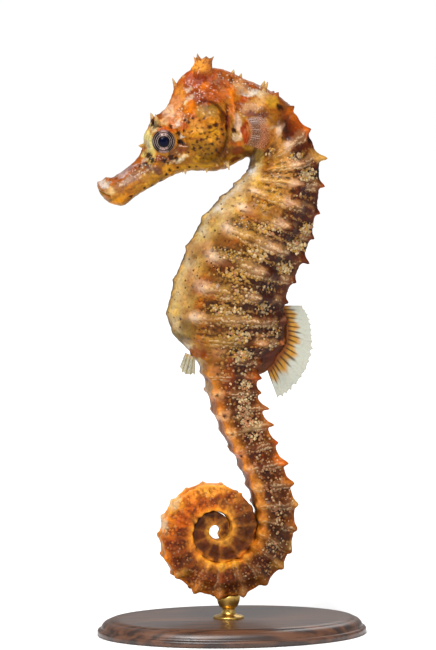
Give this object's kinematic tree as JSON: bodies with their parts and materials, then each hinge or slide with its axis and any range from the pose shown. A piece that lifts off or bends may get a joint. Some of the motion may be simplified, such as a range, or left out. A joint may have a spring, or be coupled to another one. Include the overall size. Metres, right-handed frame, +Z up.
{
  "type": "seahorse model on a display stand",
  "caption": "Life-size ringed seahorse with a small crown, a short back fin and a forward-curled tail, held upright on a rod over an oval base.",
  "frame": {"origin": "centre of the flat underside of the stand's base, on the animal's median plane", "axes": "+Z up; the seahorse faces -X; its left side faces -Y and its right side +Y, with Y = 0 its median plane"},
  "size_m": [0.046, 0.034, 0.0987],
  "materials": {
    "skin": "painted cast, wet-looking: orange-brown with cream, golden and dark mottling and fine specks",
    "eye": "polished, dark pupil in a brown and silvery iris",
    "fin": "thin translucent pale film between fine rays",
    "stand_wood": "dark stained and satin lacquered",
    "stand_metal": "brushed"
  },
  "bodies": {
    "root": {"snout": "skin", "head": "skin", "coronet": "skin", "neck": "skin", "trunk_upper": "skin", "trunk_lower": "skin", "tail_root": "skin", "tail_upper": "skin", "tail_bend": "skin", "tail_coil_bottom": "skin", "tail_coil_front": "skin", "tail_coil_top": "skin", "tail_inner_back": "skin", "tail_inner_bottom": "skin", "tail_tip": "skin", "eye_left": "eye", "eye_right": "eye", "back_fin": "fin", "vent_fin": "fin", "side_fin_left": "fin", "side_fin_right": "fin", "stand_base": "stand_wood", "stand_rod": "stand_metal"}
  },
  "joints": []
}
